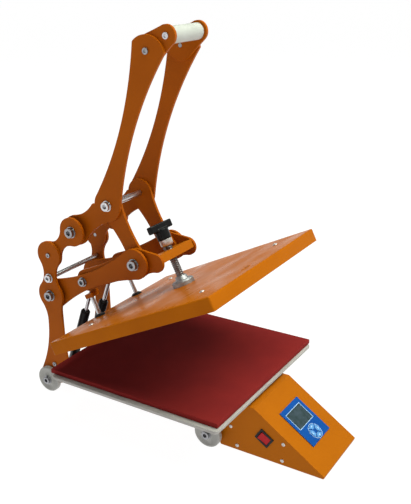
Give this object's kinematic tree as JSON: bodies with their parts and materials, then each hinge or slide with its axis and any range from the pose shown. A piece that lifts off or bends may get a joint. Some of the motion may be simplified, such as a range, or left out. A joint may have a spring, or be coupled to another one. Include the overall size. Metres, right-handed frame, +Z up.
{
  "type": "manual heat press",
  "caption": "Manual clamshell heat press: flat bed with silicone pad, tilting heated platen on plate arms, toggle lever handle, gas springs, wheels and sloped control box",
  "frame": {"origin": "centre of the footprint, on the table under the wheels", "axes": "+X to the operator's right, -Y to the operator and the control box, +Z up"},
  "size_m": [0.393, 0.678, 0.783],
  "materials": {
    "orange_paint": "glossy enamel",
    "chrome": "polished",
    "zinc_steel": "zinc plated",
    "dark_steel": "black enamel",
    "aluminium": "machined",
    "red_silicone": "matt",
    "pale_board": "fibre board",
    "wheel_grey": "moulded",
    "grip_white": "satin",
    "knob_black": "satin moulding",
    "gas_black": "satin black",
    "panel_blue": "film",
    "display_glass": "clear",
    "key_blue": "satin",
    "rocker_red": "glossy",
    "black_plastic": "fine grain",
    "circuit_board": "lacquered",
    "insulation": "fibre mat"
  },
  "bodies": {
    "base": {"side_rails": "orange_paint", "cross_members": "dark_steel", "left_upright": "orange_paint", "right_upright": "orange_paint", "head_plates": "orange_paint", "tie_rod": "chrome", "frame_bolts": "zinc_steel", "bed_board": "pale_board", "silicone_pad": "red_silicone", "control_box": "orange_paint", "box_base": "zinc_steel", "box_screws": "zinc_steel", "panel_bezel": "panel_blue", "display_window": "display_glass", "controller_board": "circuit_board", "rocker_bezel": "black_plastic", "cord_gland": "black_plastic", "arm_shaft": "chrome", "handle_pivots": "chrome", "gas_bracket": "dark_steel", "wheel_bolts": "zinc_steel"},
    "handle": {"left_handle": "orange_paint", "right_handle": "orange_paint", "grip_brackets": "orange_paint", "grip_rod": "chrome", "handle_screws": "zinc_steel", "toggle_shaft": "chrome"},
    "grip": {"grip_sleeve": "grip_white"},
    "toggle": {"left_toggle_link": "orange_paint", "right_toggle_link": "orange_paint", "toggle_nuts": "zinc_steel"},
    "arm": {"left_arm": "orange_paint", "right_arm": "orange_paint", "nose_plates": "orange_paint", "cross_block": "orange_paint", "gas_pin": "chrome", "arm_bolts": "chrome", "guide_posts": "chrome"},
    "platen": {"heater_cover": "orange_paint", "heating_plate": "aluminium", "insulation_mat": "insulation", "screw_flange": "chrome", "guide_bushes": "black_plastic", "cover_screws": "zinc_steel"},
    "screw": {"pressure_screw": "zinc_steel", "wing_knob": "knob_black", "lock_collar": "zinc_steel"},
    "left_cylinder": {"left_gas_cylinder": "gas_black"},
    "right_cylinder": {"right_gas_cylinder": "gas_black"},
    "left_rod": {"left_gas_rod": "chrome"},
    "right_rod": {"right_gas_rod": "chrome"},
    "wheel_fl": {"front_left_wheel": "wheel_grey"},
    "wheel_fr": {"front_right_wheel": "wheel_grey"},
    "wheel_rl": {"rear_left_wheel": "wheel_grey"},
    "wheel_rr": {"rear_right_wheel": "wheel_grey"},
    "rocker": {"rocker": "rocker_red"},
    "key_up": {"key_up": "key_blue"},
    "key_down": {"key_down": "key_blue"},
    "key_left": {"key_left": "key_blue"},
    "key_right": {"key_right": "key_blue"}
  },
  "joints": [
    {"name": "arm_hinge", "type": "hinge", "parent": "base", "child": "arm", "pos_m": [0, 0.28945, 0.23], "axis": [1, 0, 0], "range_deg": [0, 25.9], "stiffness_Nm_per_rad": 34, "springref_deg": -103.13},
    {"name": "handle_hinge", "type": "hinge", "parent": "base", "child": "handle", "pos_m": [0, 0.22145, 0.38], "axis": [1, 0, 0], "range_deg": [0, 74.15]},
    {"name": "toggle_hinge", "type": "hinge", "parent": "handle", "child": "toggle", "pos_m": [0, 0.13694, 0.44299], "axis": [1, 0, 0], "range_deg": [-89.59, 0]},
    {"name": "platen_slide", "type": "slide", "parent": "arm", "child": "platen", "axis": [0, 0.4368, 0.8996], "range_m": [0, 0.006]},
    {"name": "screw_turn", "type": "hinge", "parent": "platen", "child": "screw", "pos_m": [0, 0.02177, 0.32663], "axis": [0, 0.4368, 0.8996], "range_deg": [0, 540.01]},
    {"name": "left_cylinder_hinge", "type": "hinge", "parent": "base", "child": "left_cylinder", "pos_m": [-0.03, 0.29345, 0.0465], "axis": [1, 0, 0], "range_deg": [0, 6.76]},
    {"name": "left_rod_slide", "type": "slide", "parent": "left_cylinder", "child": "left_rod", "axis": [0, -0.3595, 0.9332], "range_m": [-0.03287, 0]},
    {"name": "right_cylinder_hinge", "type": "hinge", "parent": "base", "child": "right_cylinder", "pos_m": [0.03, 0.29345, 0.0465], "axis": [1, 0, 0], "range_deg": [0, 6.76]},
    {"name": "right_rod_slide", "type": "slide", "parent": "right_cylinder", "child": "right_rod", "axis": [0, -0.3595, 0.9332], "range_m": [-0.03287, 0]},
    {"name": "wheel_fl_spin", "type": "hinge", "parent": "base", "child": "wheel_fl", "pos_m": [-0.086, -0.10155, 0.0286], "axis": [1, 0, 0], "continuous": true},
    {"name": "wheel_fr_spin", "type": "hinge", "parent": "base", "child": "wheel_fr", "pos_m": [0.086, -0.10155, 0.0286], "axis": [1, 0, 0], "continuous": true},
    {"name": "wheel_rl_spin", "type": "hinge", "parent": "base", "child": "wheel_rl", "pos_m": [-0.086, 0.31045, 0.0286], "axis": [1, 0, 0], "continuous": true},
    {"name": "wheel_rr_spin", "type": "hinge", "parent": "base", "child": "wheel_rr", "pos_m": [0.086, 0.31045, 0.0286], "axis": [1, 0, 0], "continuous": true},
    {"name": "grip_roll", "type": "hinge", "parent": "handle", "child": "grip", "pos_m": [0, -0.01305, 0.764], "axis": [1, 0, 0], "continuous": true},
    {"name": "rocker_tilt", "type": "hinge", "parent": "base", "child": "rocker", "pos_m": [-0.0725, -0.21715, 0.0482], "axis": [0, -0.5573, 0.8303], "range_deg": [-14, 0]},
    {"name": "key_up_press", "type": "slide", "parent": "base", "child": "key_up", "axis": [0, 0.5573, -0.8303], "range_m": [0, 0.0006], "stiffness_N_per_m": 400},
    {"name": "key_down_press", "type": "slide", "parent": "base", "child": "key_down", "axis": [0, 0.5573, -0.8303], "range_m": [0, 0.0006], "stiffness_N_per_m": 400},
    {"name": "key_left_press", "type": "slide", "parent": "base", "child": "key_left", "axis": [0, 0.5573, -0.8303], "range_m": [0, 0.0006], "stiffness_N_per_m": 400},
    {"name": "key_right_press", "type": "slide", "parent": "base", "child": "key_right", "axis": [0, 0.5573, -0.8303], "range_m": [0, 0.0006], "stiffness_N_per_m": 400}
  ],
  "couplings": [
    {"joint": "handle_hinge", "follows": "arm_hinge", "ratio": 2.8624},
    {"joint": "toggle_hinge", "follows": "arm_hinge", "ratio": -3.4588},
    {"joint": "screw_turn", "follows": "platen_slide", "rad_per_m": 1570.8},
    {"joint": "left_cylinder_hinge", "follows": "arm_hinge", "ratio": 0.26061},
    {"joint": "left_rod_slide", "follows": "arm_hinge", "m_per_rad": -0.072684},
    {"joint": "right_cylinder_hinge", "follows": "arm_hinge", "ratio": 0.26061},
    {"joint": "right_rod_slide", "follows": "arm_hinge", "m_per_rad": -0.072684}
  ]
}
